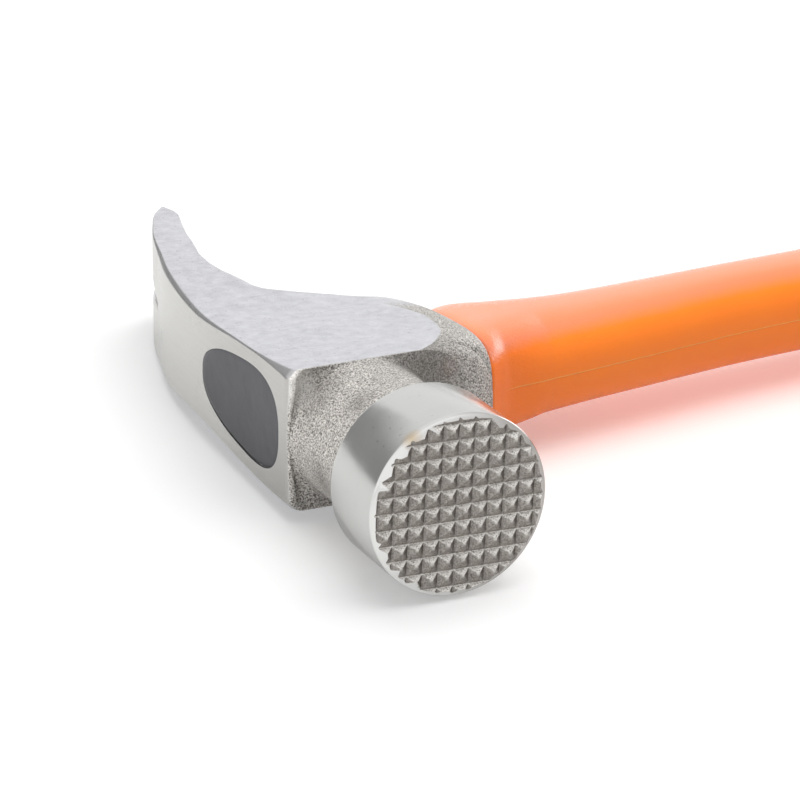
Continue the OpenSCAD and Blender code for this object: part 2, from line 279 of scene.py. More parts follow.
def round_centre(x, along, across):
    """Rings round the centre line at heights x, from their points along and across."""
    height = np.broadcast_to(x[:, None], along.shape)
    return np.stack([height, centre_y(x)[:, None] + along, across], -1)


def even_turn(points):
    """Even angles once round a ring."""
    return np.linspace(0, 2 * math.pi, points, endpoint=False)


# %% [markdown]
# ## The head's section
# Behind the front wall the head is one long loft. Each cross section runs from the flat outer
# surface over a narrow bevel to the ground cheek, and then round a shoulder to the belly.
# Small arcs at the two upper corners catch the light as broken edges do on real steel.

# %% Curves of the head
top_shares = [[0, 0.995], [0.43, 0.97], [0.91, 0.953], [1.08, 0.938], [1.23, 0.89],
              [1.35, 0.83], [1.455, 0.742], [1.56, 0.62], [1.745, 0.39], [1.85, 0.215],
              [1.955, 0.01], [2, -0.13]]
cheek_shares = [[0, 0.5], [0.19, 0.476], [0.43, 0.45], [0.69, 0.427], [0.93, 0.401],
                [1.08, 0.393], [1.2, 0.403], [1.325, 0.423], [1.47, 0.431], [2, 0.429]]
bevel_shares = [[0, 1], [0.135, 0.6], [0.355, 0.22], [0.575, 0.17], [0.835, 0.25],
                [1.08, 0.4], [1.26, 0.48], [1.55, 0.45], [1.73, 0.2], [2, 0.06]]
flat_shares = [[0, 0.4], [0.073, 0.53], [0.117, 0.59], [0.187, 0.668], [0.246, 0.72],
               [0.312, 0.759], [0.393, 0.786], [0.478, 0.797], [0.577, 0.793], [0.724, 0.74],
               [0.853, 0.675], [0.967, 0.6], [1.027, 0.498], [1.072, 0.393], [1.146, 0.17],
               [1.202, 0], [1.27, -0.075], [1.35, -0.092], [1.415, -0.092], [1.5, -0.08],
               [1.56, -0.06], [1.645, -0.017], [1.73, 0.017], [1.835, 0.082], [1.91, 0.132],
               [1.95, 0.14], [2, 0.125]]
belly_shares = [[0, 0.78], [0.021, 0.87], [0.043, 0.94], [0.062, 0.98], [0.08, 1], [0.981, 1],
                [1.005, 0.93], [1.034, 0.76], [1.078, 0.55], [1.13, 0.35], [1.184, 0.2],
                [1.247, 0.075], [1.303, 0.005], [1.37, -0.05], [1.44, -0.07], [1.53, -0.06],
                [1.645, 0], [1.73, 0.033], [1.835, 0.096], [1.91, 0.145], [1.95, 0.152],
                [2, 0.137]]
root_shares = [[0.989, 0], [1.1, 0.3], [1.214, 0.74], [1.303, 0.95], [2, 1]]
tip_round_shares = [[1.91, 0], [1.955, 0.05], [1.985, 0.2], [2, 0.36]]
neck_shares = [[-0.04, 0, 0], [0, 0, 0], [0.12, 0.01, 0], [0.28, 0.04, 0], [0.42, 0.08, 0],
               [0.54, 0.14, 0], [0.65, 0.22, 0], [0.75, 0.32, 0.01], [0.84, 0.46, 0.03],
               [0.91, 0.64, 0.06], [0.96, 0.81, 0.12], [0.985, 0.93, 0.25], [1, 1, 1]]
wall_round = 1.7
hollow_shares = [[0, 0], [0.9, 0], [0.96, 0.1], [0.985, 0.35], [0.99, 0.6], [0.995, 0.6], [1, 0]]
hollow_turn, hollow_spread = math.radians(38), math.radians(17)
flare_power = 0.7
edge_round = 0.35
corner_round, corner_share, least_corner = 0.3, 0.3, 0.05
collar_power, collar_lean = 3.2, 0.2
shoulder_power = 0.9
inset_shares = [[0.2, 0.25], [0.75, 1]]
top_points, arc_points, cheek_points, shoulder_points, belly_points = 16, 5, 26, 34, 8


def head_y(place):
    """Distance from the points: places 0 to 1 run over the eye block, 1 to 2 over the claw."""
    place = np.asarray(place, float)
    return np.where(place < 1, between(wall_y, skirt_back, place),
                    between(skirt_back, head_len, place - 1))


def head_curve(pairs, y, through=smooth_through):
    """One of the head's curves, read at distances from the points."""
    at = [[float(head_y(place)), value] for place, value in pairs]
    return through(at, y)


def skirt_half(y):
    """Half width of the skirt's end face: a squarish egg round the skirt's middle."""
    u = np.clip((y - skirt_y) / (collar_len / 2), -1, 1)
    reach = (1 - np.abs(u) ** collar_power) ** (1 / collar_power)
    return collar_w / 2 * (1 - collar_lean * u) * reach


def head_sizes(y):
    """The heights and half widths of the head's section at distances y from the points."""
    top = -top_rise * head_curve(top_shares, y)
    half = cheek_w * head_curve(cheek_shares, y)
    bevel = cheek_bevel * head_curve(bevel_shares, y)
    foot = skirt_drop * head_curve(flat_shares, y)
    belly = skirt_drop * head_curve(belly_shares, y, straight_through)
    root = half * head_curve(root_shares, y)
    end_half = np.clip(np.maximum(skirt_half(y), root), edge_round, half - edge_round)
    pinch = head_curve(tip_round_shares, y, straight_through) * (foot - top)
    return top + pinch, half, bevel, foot - pinch, belly, end_half, pinch


def wall_inset(y):
    """How far the rounded edge of the front wall sets the outline in: a quarter circle."""
    left = np.clip((wall_y + wall_round - y) / wall_round, 0, 1)
    return wall_round * (1 - np.sqrt(1 - left ** 2))


def run_between(start, end, down, aside):
    """Points of each ring from a start to an end, both pairs of height and half width, at their
    own shares of the way down and aside."""
    return np.stack([between(a[:, None], b[:, None], share)
                     for a, b, share in zip(start, end, (down, aside))], -1)


def straight_run(start, end, count):
    """Evenly spaced points of each ring from a start to an end."""
    even = np.linspace(0, 1, count)
    return run_between(start, end, even, even)


def corner_arc(before, corner, after):
    """Points of a small curve that leaves one edge, bends at the corner and joins the next."""
    u = np.linspace(0, 1, arc_points)[:, None]
    before, corner, after = (np.stack(pair, -1)[:, None] for pair in (before, corner, after))
    return (1 - u) ** 2 * before + 2 * u * (1 - u) * corner + u ** 2 * after


def half_section(sizes):
    """Half of each section, from the middle of the outer surface over the bevel, the cheek and
    the shoulder to the middle of the belly."""
    rise, half, bevel, fall, belly, end_half, pinch = sizes
    small = np.minimum(corner_round, corner_share * bevel + least_corner)
    slant = small / math.sqrt(2)
    flat, brow, bottom, axis = half - bevel, rise + bevel, belly - pinch, 0 * half
    top = straight_run((rise, axis), (rise, flat - small), top_points)
    first = corner_arc((rise, flat - small), (rise, flat), (rise + slant, flat + slant))
    second = corner_arc((brow - slant, half - slant), (brow, half), (brow + small, half))
    cheek = straight_run((brow + small, half), (fall, half), cheek_points)
    turn = np.linspace(0, math.pi / 2, shoulder_points)[1:]
    shoulder = run_between((fall, end_half), (bottom, half), bend(np.sin(turn), shoulder_power),
                           bend(np.cos(turn), shoulder_power))
    floor = straight_run((bottom, end_half), (bottom, axis), belly_points)
    return np.concatenate([top, first[:, 1:], second, cheek[:, 1:], shoulder, floor[:, 1:]], 1)


def head_rings(y):
    """Rings of the head at distances y: half a section, drawn in at the front wall's rounded
    edge, then its mirror image."""
    sizes = head_sizes(y)
    side = half_section(sizes)
    rise, half, belly = sizes[0], sizes[1], sizes[4]
    above_middle = np.minimum(side[..., 0] - (rise + belly)[:, None] / 2, 0)
    drawn_in = (wall_inset(y) / (belly - rise) * 2)[:, None]
    cornered = smooth_through(inset_shares, side[..., 1] / half[:, None])
    side = np.stack([side[..., 0] - above_middle * cornered * drawn_in, side[..., 1]], -1)
    ring = np.concatenate([side, side[:, -2:0:-1] * np.array([1, -1])], 1)
    return np.stack([ring[..., 0], np.broadcast_to(y[:, None], ring.shape[:2]), ring[..., 1]], -1)


# %% [markdown]
# ## The neck
# Between the poll and the block the forging is a round neck that flares out. Its sides flare
# earlier than its corners, which gives the soft hollows in front of the wall's corners.

# %% Neck rings


def neck_rings(place):
    """Rings of the neck: a circle that moves point by point towards the front wall's outline.
    Beside each upper corner the wall is pressed in a little, over a bell curve of angle."""
    wall = head_rings(np.array([wall_y]))[0]
    at, side_flare, corner_flare = np.array(neck_shares).T
    sides = smooth_through(np.stack([at, side_flare], -1), place)[:, None]
    corners = smooth_through(np.stack([at, corner_flare], -1), place)[:, None]
    turn = np.arctan2(wall[:, 2], wall[:, 0])[None]
    flare = between(sides, corners, np.abs(np.sin(2 * turn)) ** flare_power)
    x = between(neck_r * np.cos(turn), wall[:, 0], flare)
    z = between(neck_r * np.sin(turn), wall[:, 2], flare)
    from_outer = np.arctan2(np.abs(wall[:, 2]), -wall[:, 0])
    near_hollow = np.exp(-((from_outer - hollow_turn) / hollow_spread) ** 2)
    hollow = smooth_through(hollow_shares, place)[:, None] * near_hollow
    y = between(poll_len, wall_y, place)[:, None] + hollow
    return np.stack([x, y, z], -1)


# %% [markdown]
# ## The eye and the nail slot as cutting tools
# The eye is egg shaped and narrows down the handle. The slot is a V with bevelled lower edges.
# Both are closed solids that a boolean takes out of the forging.

# %% Eye and slot solids
eye_power, eye_lean = 2.6, 0.24
overrun = 1.0
forging_crease = math.radians(28)


def eye_rings(x, points=160, shrink=0.0):
    """Rings of the eye at heights x, set in by shrink on every side."""
    t = depth_share(x)[:, None]
    long = between(eye_len, eye_end_len, t) / 2 - shrink
    wide = between(eye_w, eye_end_w, t) / 2 - shrink
    along, across = oval(even_turn(points), long, long, wide, eye_lean * (1 - t), eye_power)
    return round_centre(x, along, across)


def slot_rings(shares):
    """Rings of the nail slot from its narrow end to past the tips."""
    y = head_len - slot_len + slot_len * shares
    half = between(apex_gap, tip_gap, np.minimum(shares, 1)) / 2
    up = np.full_like(y, -top_rise - overrun)
    down = skirt_drop * head_curve(flat_shares, y)
    wide = half + slot_bevel + overrun
    x = np.stack([up, down - slot_bevel, down + overrun, down + overrun, down - slot_bevel, up], -1)
    z = np.stack([half, half, wide, -wide, -half, -half], -1)
    lean = slot_slope * np.maximum(1 - shares, 0) / (down - up)
    return np.stack([x, y[:, None] - lean[:, None] * (x - up[:, None]), z], -1)


# %% Forging
wall_places = np.concatenate([np.linspace(-0.04, 0.8, 44), np.linspace(0.8, 0.985, 22)[1:-1],
                              np.linspace(0.985, 1, 14)[:-1]])
edge_turn = 1 - np.cos(np.linspace(0, math.pi / 2, 13))
edge_places = edge_turn * wall_round / (skirt_back - wall_y)
block_places = np.concatenate([
    edge_places[:-1], np.linspace(edge_places[-1], 0.13, 20)[:-1],
    np.linspace(0.13, 0.93, 84)[:-1], np.linspace(0.93, 1.08, 30)[:-1],
    np.linspace(1.08, 1.9, 96)[:-1], np.linspace(1.9, 2, 22)])
forging_rings = np.concatenate([neck_rings(wall_places), head_rings(head_y(block_places))])
forging = tube("head_forging", forging_rings)
eye_heights = np.linspace(-top_rise - overrun, skirt_drop + overrun, 12)
combined(forging, tube("eye_tool", eye_rings(eye_heights)), "DIFFERENCE")
combined(forging, tube("slot_tool", slot_rings(np.linspace(0, 1.05, 22))), "DIFFERENCE")
forging.data.set_sharp_from_angle(angle=forging_crease)
print("forging faces", len(forging.data.polygons))

# %% [markdown]
# ### Where the grinding stops
# The maker grinds the cheeks and the outer surface and leaves the neck, the front wall and the
# skirt shot-blasted. Three numbers per point tell the material where it is: how far inside the
# ground area a point lies, and how far past each edge of the bevel, which keeps the cheek, the
# bevel and the outer surface apart.

# %% Values for the head's material
skin_depth = 0.5
blasted_edge = 0.3 * wall_round
x, y, z = points_of(forging).T
rise, half, bevel, fall = head_sizes(np.maximum(y, wall_y))[:4]
deep, wide = x - rise, half - np.abs(z)
under_skin = np.minimum(np.minimum(deep, wide), np.abs(deep + wide - bevel) / math.sqrt(2))
behind_wall = y - wall_y - blasted_edge
give_values(forging, "ground_depth",
            np.minimum(np.minimum(fall - x, behind_wall), skin_depth - under_skin))
give_values(forging, "above_bevel", bevel - deep)
give_values(forging, "inside_bevel", wide - bevel)
print("ground points", int((fall > x).sum()), "of", len(x))

# %% [markdown]
# ## The poll and its milled face
# A cutter leaves V grooves in two directions, so each point of the face is a small pyramid. The
# face is a height field: its depth is the larger of the two grooves' depths at that place. A
# turned poll then trims the field to its round, chamfered outline.

# %% Poll
worn_shares = [[0, 0.02], [0.1, 0.1], [0.29, 0.29], [0.57, 0.58], [0.79, 0.81], [0.92, 0.925],
               [1, 0.95]]
poll_crease = math.radians(24)
half_pitch = tip_pitch / 2
low_reach, high_reach = half_pitch + groove_lean, half_pitch - groove_lean


def groove_depth_at(share):
    """Depth at a share of the way from a point's flat to the bottom of its groove: the edge is
    worn round and the bottom is a little filled."""
    return groove_depth * smooth_through(worn_shares, share) * (share > 0)


def from_point(place, low_side, high_side):
    """Share of the way from the nearest point's flat to the groove on that side of it. The
    grooves on the two sides can lie at unlike distances."""
    step = np.mod(place + low_side, tip_pitch) - low_side
    flat = tip_flat / 2
    side = np.where(step < 0, low_side, high_side)
    return np.clip((np.abs(step) - flat) / (side - flat), 0, 1)


def milled_lines(reach, low_side, high_side):
    """Places of the field's lines, so that they follow every edge of the pyramids."""
    flat = tip_flat / 2
    share = np.array(worn_shares)[:, 0]
    offsets = np.concatenate([-between(flat, low_side, share[:-1]),
                              between(flat, high_side, share)])
    count = math.ceil(reach / tip_pitch) + 1
    lines = np.arange(-count, count + 1)[:, None] * tip_pitch + offsets
    return np.unique(np.round(lines.ravel(), 4))


def turned(u, w, angle):
    """Two coordinates turned by an angle in the plane of the face."""
    return (u * math.cos(angle) + w * math.sin(angle), w * math.cos(angle) - u * math.sin(angle))


def milled_block(reach, depth):
    """Closed block whose front is the milled field: the depth at each place is the larger of the
    depths of the upright and the level groove there."""
    across = milled_lines(reach, half_pitch, half_pitch)
    level = milled_lines(reach, low_reach, high_reach)
    u, w = np.meshgrid(across, level, indexing="ij")
    y = np.maximum(groove_depth_at(from_point(u, half_pitch, half_pitch)),
                   groove_depth_at(from_point(w, low_reach, high_reach)))
    x, z = turned(u + tip_shift[0], w + tip_shift[1], milling_turn)
    front = np.stack([x, y, z], -1).reshape(-1, 3)
    index = np.arange(u.size).reshape(u.shape)
    quads = np.stack([index[:-1, :-1], index[:-1, 1:], index[1:, 1:], index[1:, :-1]], -1)
    rim = np.concatenate([index[0, :-1], index[:-1, -1], index[-1, :0:-1], index[:0:-1, 0]])
    back = front[rim] * np.array([1, 0, 1]) + np.array([0, depth, 0])
    behind = u.size + np.arange(len(rim))
    after = np.roll(np.arange(len(rim)), -1)
    walls = np.stack([rim, behind, behind[after], rim[after]], -1)
    faces = [*quads.reshape(-1, 4).tolist(), *walls.tolist(), behind[::-1].tolist()]
    return closed_piece("milled_block", np.concatenate([front, back]), faces)


# A cone leads to a rounded lip and the side. The lip stays just above the grooves' bottom, and
# the side just inside the model's box.
cone_r = 16.25
clear = 0.02
rim_depth = groove_depth - clear
side_r = poll_r - clear
poll_profile = [[-0.5, cone_r - 0.5], [rim_depth, cone_r + rim_depth],
                [rim_depth + 0.08, side_r - 0.4], [rim_depth + 0.17, side_r - 0.25],
                [rim_depth + 0.3, side_r - 0.1], [rim_depth + 0.5, side_r],
                [poll_len - 0.5, side_r], [poll_len - 0.15, side_r - 0.12],
                [poll_len, side_r - 0.5]]


def lathe_rings(profile, points=256):
    """Rings of a turned piece round the Y axis from (along, radius) pairs."""
    along, radius = np.array(profile).T[..., None]
    angle = even_turn(points)
    x, z = radius * np.cos(angle), radius * np.sin(angle)
    return np.stack([x, np.broadcast_to(along, x.shape), z], -1)


poll = tube("poll", lathe_rings(poll_profile))
combined(poll, milled_block(poll_r, poll_len + 2 * overrun), "INTERSECT")
poll.data.set_sharp_from_angle(angle=poll_crease)
print("poll faces", len(poll.data.polygons))

# %% [markdown]
# ### Which side of a pyramid
# The upper side of each pyramid and the ridges beside it carry a painted highlight, paler than the
# rest. The shares of the way to the two grooves tell on which side a point of the mesh lies.

# %% Values for the poll's material
face_margin = 0.2
ridge_width, side_blur = 0.16, 0.2
x, y, z = points_of(poll).T
give_values(poll, "face_depth",
            np.minimum(cone_r + y - np.hypot(x, z), groove_depth + face_margin - y))
u, w = turned(x, z, -milling_turn)
u, w = u - tip_shift[0], w - tip_shift[1]
share_u = from_point(u, half_pitch, half_pitch)
share_w = from_point(w, low_reach, high_reach)
upper = np.mod(w + low_reach, tip_pitch) > low_reach
# These two values place the painted highlights on the ridges and the upper sides.
give_values(poll, "ridge", np.clip(1 - np.abs(share_u - share_w) / ridge_width, 0, 1) * upper)
give_values(poll, "up_side", np.clip((share_w - share_u) / side_blur + 0.5, 0, 1) * upper)
print("points on the upper sides", int(upper.sum()))

# %% [markdown]
# ## The resin in the eye
# The resin was poured in and shrank a little: its end is dished, stands a little below the
# steel and has drawn away from the wall.

# %% Resin plug
end_gap, wall_gap = 0.06, 0.03
dish_depth, lip_drop, lip_height = 0.16, 0.22, 0.6
lip_share = 0.94


def resin_rings():
    """Rings from the dished end out to the wall and down the eye: radial shares first, then
    depths."""
    face_x = resin_recess - top_rise
    rim = eye_rings(np.array([face_x]), shrink=end_gap)[0]
    middle = rim.mean(0)
    share = np.concatenate([[0.02], np.linspace(0.06, lip_share, 16), [0.97, 0.99, 1.0]])
    lip = np.clip((share - lip_share) / (1 - lip_share), 0, 1)
    sunk = dish_depth * (1 - share ** 3) + lip_drop * lip ** 2
    end = between(middle, rim, share[:, None, None])
    end[..., 0] += sunk[:, None]
    down = eye_rings(np.linspace(face_x + lip_height, skirt_drop, 12), shrink=wall_gap)
    return np.concatenate([end, down])


resin = tube("resin_plug", resin_rings(), crease_degrees=40)
print("resin faces", len(resin.data.polygons))

# %% [markdown]
# ## The moulded jacket
# The jacket starts as the skirt's egg, swells into a collar and settles to an oval shaft. Its
# rings are close together at the collar, where the form changes most.

# %% Jacket
fore_shares = [[0, 1], [0.007, 0.79], [0.017, 0.51], [0.043, 0.407], [0.085, 0.25], [0.14, 0.126],
               [0.195, 0.026], [0.362, 0], [1, 0]]
aft_shares = [[0, 1], [0.007, 1.04], [0.018, 1.09], [0.037, 0.6], [0.062, 0.341], [0.102, 0.231],
              [0.195, 0.04], [0.362, 0], [1, 0]]
lean_shares = [[0, 1], [0.048, 0]]
bulge_shares = [[0, 0], [0.007, 0.72], [0.02, 0.95], [0.035, 1], [0.057, 0.7], [0.085, 0.38],
                [0.14, 0.22], [0.195, 0.15], [0.362, 0], [1, 0]]
shaft_power = 2.4
corner_crowding = 0.15


def jacket_rings(t, points=176, inset=0.0):
    """Rings of the jacket at shares t of its run, blending the skirt's egg into the shaft. The
    points of a ring are closer together at its corners."""
    fore_keep, aft_keep = smooth_through(fore_shares, t), smooth_through(aft_shares, t)
    keep = straight_through(lean_shares, t)[:, None]
    bulge = collar_bulge * smooth_through(bulge_shares, t)
    fore = between(shaft_len, collar_len, fore_keep) / 2 - inset
    aft = between(shaft_len, collar_len, aft_keep) / 2 - inset
    side = between(shaft_w, collar_w, fore_keep) / 2 + bulge - inset
    angle = even_turn(points) - corner_crowding * np.sin(2 * even_turn(points))
    along, across = oval(angle, fore[:, None], aft[:, None], side[:, None], collar_lean * keep,
                         between(shaft_power, collar_power, keep))
    return round_centre(between(skirt_drop, handle_len, t), along, across)


jacket_end = 1 - butt_wall / (handle_len - skirt_drop)
lip = np.array([0.0, 0.0006, 0.0013])
jacket_places = np.concatenate([np.linspace(0.0022, 0.05, 40), np.linspace(0.052, 0.3, 70),
                                np.linspace(0.31, jacket_end, 60)])
lip_insets = np.array([0.55, 0.5, 0.2])
jacket = tube("jacket", np.concatenate([
    jacket_rings(lip, inset=lip_insets), jacket_rings(jacket_places)]),
              crease_degrees=40)
print("jacket faces", len(jacket.data.polygons))

# %% [markdown]
# ## The grip
# The rubber grip is outside the photograph, so it is a plain one of its kind: a sleeve with
# shallow grooves, a waist and a flared butt.

# %% Grip
grip_shares = [[0, 0], [0.012, 0.25], [0.05, 0.5], [0.2, 0.83], [0.42, 1], [0.66, 0.7],
               [0.8, 0.87], [0.9, 1.4], [0.96, 1.52], [0.985, 1.4], [1, 0.9]]
grip_power = 2.4
grooves_start, groove_mouth = 0.16, 0.34


def grip_rings(t, points=160):
    """Rings of the grip: a smooth outline less a rounded groove at every step."""
    step = groove_pitch / grip_len
    phase = (t - grooves_start) / step
    near = np.abs(phase - np.clip(np.round(phase), 0, grip_grooves - 1))
    mouth = np.clip(near / (groove_mouth / 2), 0, 1)
    groove = grip_groove_depth * np.cos(math.pi / 2 * mouth)[:, None] ** 2
    swell = smooth_through(grip_shares, t)[:, None]
    long = between(shaft_len / 2 + grip_wall, grip_swell_len / 2, swell) - groove
    wide = between(shaft_w / 2 + grip_wall, grip_swell_w / 2, swell) - groove
    along, across = oval(even_turn(points), long, long, wide, 0, grip_power)
    return round_centre(handle_len - grip_len * (1 - t), along, across)


grip_places = np.unique(np.concatenate([np.linspace(0, 1, 90), np.linspace(0.14, 0.62, 260)]))
grip = tube("grip", grip_rings(grip_places), crease_degrees=40)
print("grip faces", len(grip.data.polygons))

# %% [markdown]
# ## Shader maths as Python
# A material is a tree of nodes, and so is the world. A small class wraps one output of a node,
# so that ordinary Python operators add the Math nodes, and one method makes any other node.

# %% Shader helpers


class Wire:
    """One number or colour that runs between nodes. Operators on it add Math nodes."""

    def __init__(self, tree, socket):
        self.tree = tree
        self.socket = socket

    def __add__(self, other):
        return self.tree.maths("ADD", self, other)

    def __sub__(self, other):
        return self.tree.maths("SUBTRACT", self, other)

    def __rsub__(self, other):
        return self.tree.maths("SUBTRACT", other, self)

    def __mul__(self, other):
        return self.tree.maths("MULTIPLY", self, other)

    def __truediv__(self, other):
        return self.tree.maths("DIVIDE", self, other)

    __radd__ = __add__
    __rmul__ = __mul__

    def clamped(self):
        """The number, kept between 0 and 1."""
        return self.tree.maths("ADD", self, 0.0, clamp=True)

    def unsigned(self):
        """The number without its sign."""
        return self.tree.maths("ABSOLUTE", self, 0.0)

    def at_least(self, other):
        """The larger of two numbers."""
        return self.tree.maths("MAXIMUM", self, other)

    def above(self, edge, soft):
        """0 below the edge and 1 above it, over a soft width."""
        return ((self - (edge - soft / 2)) / soft).clamped()

    def swing(self, size):
        """A number from 0 to 1 turned into a swing of this size, half of it to each side of 0."""
        return (self - 0.5) * size


class Tree:
    """The nodes of a material or of the world."""

    def __init__(self, tree):
        self.nodes, self.links = tree.nodes, tree.links

    def node(self, kind, settings=None, inputs=None, output=0):
        """Any node: its settings are set first, then its inputs are set or linked."""
        made = self.nodes.new(kind)
        for key, value in (settings or {}).items():
            if key == "stops":
                ramp = made.color_ramp
                while len(ramp.elements) < len(value):
                    ramp.elements.new(0.5)
                for element, (position, colour) in zip(ramp.elements, value):
                    element.position = position
                    element.color = (*colour, 1)
            else:
                setattr(made, key, value)
        for key, value in (inputs or {}).items():
            socket = made.inputs[key]
            if isinstance(value, Wire):
                self.links.new(value.socket, socket)
            else:
                socket.default_value = (*value, 1) if socket.type == "RGBA" else value
        return Wire(self, made.outputs[output])

    def maths(self, operation, first, second, clamp=False):
        """One Math node."""
        return self.node("ShaderNodeMath", {"operation": operation, "use_clamp": clamp},
                         {0: first, 1: second})

    def ray(self, kind):
        """1 for the rays of one kind, such as those that leave the camera."""
        return self.node("ShaderNodeLightPath", output=f"Is {kind} Ray")


class Finish(Tree):
    """A material that is being built."""

    def __init__(self, name):
        self.material = bpy.data.materials.new(name)
        self.material.use_nodes = True
        super().__init__(self.material.node_tree)
        self.nodes.clear()
        metres = self.node("ShaderNodeTexCoord", output="Object")
        self.place = self.node("ShaderNodeVectorMath", {"operation": "SCALE"},
                               {"Vector": metres, "Scale": 1 / MM}, output="Vector")

    def value_of(self, name):
        """A number that the mesh stores at each point."""
        return self.node("ShaderNodeAttribute", {"attribute_name": name}, output="Fac")

    def mix(self, first, second, share):
        """Colour between two colours."""
        return self.node("ShaderNodeMix", {"data_type": "RGBA"},
                         {0: share, 6: first, 7: second}, output=2)

    def coated(self, colour, *coats):
        """A colour with coats over it, each given by its own colour and its share."""
        for coat, share in coats:
            colour = self.mix(colour, coat, share)
        return colour

    def noise(self, per_mm, detail=2.0, rough=0.5, stretch=(1, 1, 1), turn=(0, 0, 0), shift=0.0):
        """Noise with features of about 1 / per_mm millimetres, drawn out by stretch."""
        where = self.node("ShaderNodeMapping", {}, {
            "Vector": self.place, "Scale": stretch, "Rotation": turn,
            "Location": (shift, shift * 0.7, -shift)}, output="Vector")
        return self.node("ShaderNodeTexNoise", {}, {
            "Vector": where, "Scale": per_mm, "Detail": detail, "Roughness": rough})

    def axis(self, letter):
        """One coordinate of the place, in millimetres."""
        return self.node("ShaderNodeSeparateXYZ", {}, {0: self.place}, output=letter)

    def spots(self, *places):
        """Round marks on the surface: the sum of spots, each given by its centre, its radius, the
        soft width of its edge and its strength."""
        total = 0.0
        for centre, radius, soft, strength in places:
            away = self.node("ShaderNodeVectorMath", {"operation": "DISTANCE"},
                             {0: self.place, 1: centre}, output="Value")
            total = total + (1 - away.above(radius, soft)) * strength
        return total

    def bump(self, height_mm):
        """Bend the normal by a height in millimetres."""
        return self.node("ShaderNodeBump", {}, {"Height": height_mm, "Distance": MM})

    def closed(self, shader):
        """Send a shader to the output, and return the material."""
        end = self.nodes.new("ShaderNodeOutputMaterial")
        self.links.new(shader.socket, end.inputs["Surface"])
        return self.material

    def surface(self, colour, roughness, normal, **fixed):
        """Principled surface. The fixed values are the same all over."""
        inputs = {"Base Color": colour, "Roughness": roughness, "Normal": normal}
        for key, value in fixed.items():
            inputs[key.replace("_", " ")] = value
        return self.closed(self.node("ShaderNodeBsdfPrincipled", {}, inputs))


# %% [markdown]
# ## Steel of the head
# Three finishes meet on one forging. The cheeks are ground and lightly scratched, the outer
# surface is polished, and everything else is shot-blasted, with a dense grain of tiny pits.
# Soft spots round places on the surface add painted light: a painted highlight on the front
# wall's upper corner, painted shade in the hollows and a painted reflection of the orange jacket.

# %% Colours and marks of the forging
blast_pit, blast_peak = (0.09, 0.083, 0.076), (0.69, 0.663, 0.628)
# The pale colour is a painted highlight, the dark one painted shade and the reddish one a painted
# reflection of the jacket.
corner_highlight_pale, hollow_painted_shade, jacket_bounce_orange = (0.86, 0.84, 0.81), (0.12, 0.11, 0.10), (0.50, 0.25, 0.19)
cheek_dull, cheek_bright = (0.42, 0.42, 0.45), (0.80, 0.80, 0.84)
hair_bright, nick_dark = (0.95, 0.95, 0.97), (0.30, 0.29, 0.29)
polish_dull, polish_bright = (0.50, 0.49, 0.472), (0.64, 0.63, 0.605)
# Painted shade by the wall's lower corner, and a painted reflection that brightens the claw.
polish_shaded, polish_painted_bright = (0.3, 0.292, 0.28), (0.85, 0.85, 0.845)
bevel_grey = (0.58, 0.57, 0.56)
blasted_rough, ground_rough, blasted_metal = 0.56, 0.3, 0.55

# A painted highlight on the front wall's upper corner, where the rounded edge catches the light.
corner_painted_highlight = ((-15.5, 42.5, 11.5), 3.8, 4, 0.8)
# Painted shade: dark spots in the hollow before the wall, on the block's side, low on the neck and
# by the poll.
hollow_shade_places = [((-8.5, 41.0, 8.0), 4.5, 6, 0.6), ((13.0, 43.0, 10.0), 8.0, 9, 0.62),
                ((-13.5, 31.0, -4.5), 4.0, 6, 0.5), ((-7.6, 28.0, 12.0), 2.5, 4, 0.5)]
# A painted reflection of the orange jacket on the block's side near the skirt.
jacket_bounce_place = ((18.0, 45.0, 10.0), 1.5, 5, 0.4)

# %% Forged steel


def ground_area(steel):
    """1 where the maker has ground the forging: inside the stored border, which wavers a little,
    and on the claw's flanks behind the block."""
    waver = steel.noise(1.1, 3).swing(0.3)
    ground = (steel.value_of("ground_depth") + waver).above(0.0, 0.2)
    flanks = steel.axis("Z").unsigned().above(10.5, 1.5) * steel.axis("Y").above(74, 8)
    return ground.at_least(flanks)


def blasted_colour(steel, grain):
    """Pits and peaks of the blasted skin, with painted spots of highlight, shade and orange
    reflection.
    """
    blasted = steel.mix(blast_pit, blast_peak, (grain * 3.8 - 1.4).clamped())
    # The corner spot, broken up by the grain, is a painted highlight.
    worn = steel.spots(corner_painted_highlight) * (grain * 3.0 - 0.4).clamped()
    # The dark spots are painted shade in the hollows; the reddish spot is a painted reflection of
    # the jacket.
    return steel.coated(blasted, (corner_highlight_pale, worn), (hollow_painted_shade, steel.spots(*hollow_shade_places)),
                        (jacket_bounce_orange, steel.spots(jacket_bounce_place)))


def cheek_colour(steel, scratch, cloud, pits):
    """Ground steel: blotches and scratches, a few bright hairs, dark nicks and pits."""
    blotch = steel.noise(0.42, 4, 0.62, shift=17)
    hairs = steel.noise(0.9, 2, 0.5, (0.1, 4.0, 1), (0, 0, -0.9), 27).above(0.70, 0.03)
    nicks = steel.noise(0.8, 2, 0.5, (0.3, 2.6, 1), (0, 0, 0.2), 33).above(0.72, 0.03)
    bright = (scratch * 0.4 + cloud * 0.45 + blotch * 0.95 - 0.26).clamped()
    marks = (pits + nicks * 0.6).clamped()
    return steel.coated(cheek_dull, (cheek_bright, bright), (hair_bright, hairs * 0.5),
                        (nick_dark, marks * 0.7))


